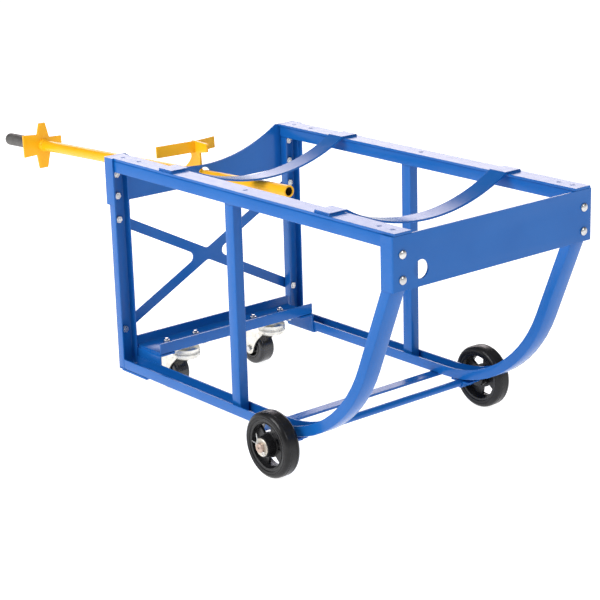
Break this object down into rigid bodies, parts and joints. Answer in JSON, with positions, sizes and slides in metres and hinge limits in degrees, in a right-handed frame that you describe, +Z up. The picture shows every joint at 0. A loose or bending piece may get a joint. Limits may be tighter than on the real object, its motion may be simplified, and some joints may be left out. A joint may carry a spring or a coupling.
{
  "type": "drum dolly",
  "caption": "Steel cradle dolly that carries a drum on its side, with curved rocker runners, fixed wheels, swivel casters and a stored lever.",
  "frame": {"origin": "floor level under the centre of the whole bounding box, lever included", "axes": "+X along the frame from the caster and lever end to the fixed wheels, +Y across to the far side, +Z up"},
  "size_m": [2.0577, 0.758, 0.6448],
  "materials": {
    "blue_paint": "gloss blue powder coat",
    "yellow_paint": "gloss orange yellow powder coat",
    "zinc_steel": "bright zinc plate",
    "black_rubber": "satin moulded rubber",
    "black_wheel": "satin black wheel core",
    "grey_grip": "dark grey vinyl grip"
  },
  "bodies": {
    "frame": {"front_plate": "blue_paint", "rear_plate": "blue_paint", "rear_cross_brace": "blue_paint", "drum_saddle_rear": "blue_paint", "drum_saddle_front": "blue_paint", "caster_beam": "blue_paint", "cross_bar": "blue_paint", "axle": "blue_paint", "top_bar_near": "blue_paint", "top_rail_near": "blue_paint", "rear_post_near": "blue_paint", "middle_post_near": "blue_paint", "base_runner_near": "blue_paint", "caster_bracket_near": "blue_paint", "axle_bracket_near": "blue_paint", "axle_washer_near": "zinc_steel", "cotter_pin_near": "zinc_steel", "caster_mount_near": "zinc_steel", "front_bolt_near_upper": "zinc_steel", "rear_bolt_near_upper": "zinc_steel", "brace_bolt_near_upper": "zinc_steel", "front_bolt_near_lower": "zinc_steel", "rear_bolt_near_lower": "zinc_steel", "brace_bolt_near_lower": "zinc_steel", "top_bar_far": "blue_paint", "top_rail_far": "blue_paint", "rear_post_far": "blue_paint", "middle_post_far": "blue_paint", "base_runner_far": "blue_paint", "caster_bracket_far": "blue_paint", "axle_bracket_far": "blue_paint", "axle_washer_far": "zinc_steel", "cotter_pin_far": "zinc_steel", "caster_mount_far": "zinc_steel", "front_bolt_far_upper": "zinc_steel", "rear_bolt_far_upper": "zinc_steel", "brace_bolt_far_upper": "zinc_steel", "front_bolt_far_lower": "zinc_steel", "rear_bolt_far_lower": "zinc_steel", "brace_bolt_far_lower": "zinc_steel"},
    "wheel_near": {"wheel_tyre_near": "black_rubber", "wheel_core_near": "black_wheel", "wheel_bush_near": "zinc_steel"},
    "caster_near": {"caster_fork_near": "zinc_steel", "caster_axle_near": "zinc_steel"},
    "caster_wheel_near": {"caster_tyre_near": "black_rubber", "caster_core_near": "black_wheel"},
    "wheel_far": {"wheel_tyre_far": "black_rubber", "wheel_core_far": "black_wheel", "wheel_bush_far": "zinc_steel"},
    "caster_far": {"caster_fork_far": "zinc_steel", "caster_axle_far": "zinc_steel"},
    "caster_wheel_far": {"caster_tyre_far": "black_rubber", "caster_core_far": "black_wheel"},
    "lever": {"lever_tube": "yellow_paint", "lever_grip": "grey_grip", "lever_star": "yellow_paint", "lever_hook": "yellow_paint"}
  },
  "joints": [
    {"name": "wheel_near_spin", "type": "hinge", "parent": "frame", "child": "wheel_near", "pos_m": [0.6423, -0.338, 0.079], "axis": [0, 1, 0], "continuous": true},
    {"name": "caster_near_swivel", "type": "hinge", "parent": "frame", "child": "caster_near", "pos_m": [0.0403, -0.142, 0.096], "axis": [0, 0, 1], "continuous": true},
    {"name": "caster_wheel_near_spin", "type": "hinge", "parent": "caster_near", "child": "caster_wheel_near", "pos_m": [-0.01962, -0.14514, 0.046], "axis": [-0.0523, 0.9986, 0], "continuous": true},
    {"name": "wheel_far_spin", "type": "hinge", "parent": "frame", "child": "wheel_far", "pos_m": [0.6423, 0.338, 0.079], "axis": [0, 1, 0], "continuous": true},
    {"name": "caster_far_swivel", "type": "hinge", "parent": "frame", "child": "caster_far", "pos_m": [0.0403, 0.142, 0.096], "axis": [0, 0, 1], "continuous": true},
    {"name": "caster_wheel_far_spin", "type": "hinge", "parent": "caster_far", "child": "caster_wheel_far", "pos_m": [-0.01962, 0.13886, 0.046], "axis": [-0.0523, 0.9986, 0], "continuous": true},
    {"name": "lever_slide", "type": "slide", "parent": "frame", "child": "lever", "axis": [0.9989, 0, 0.0471], "range_m": [-0.3, 0.002]}
  ]
}
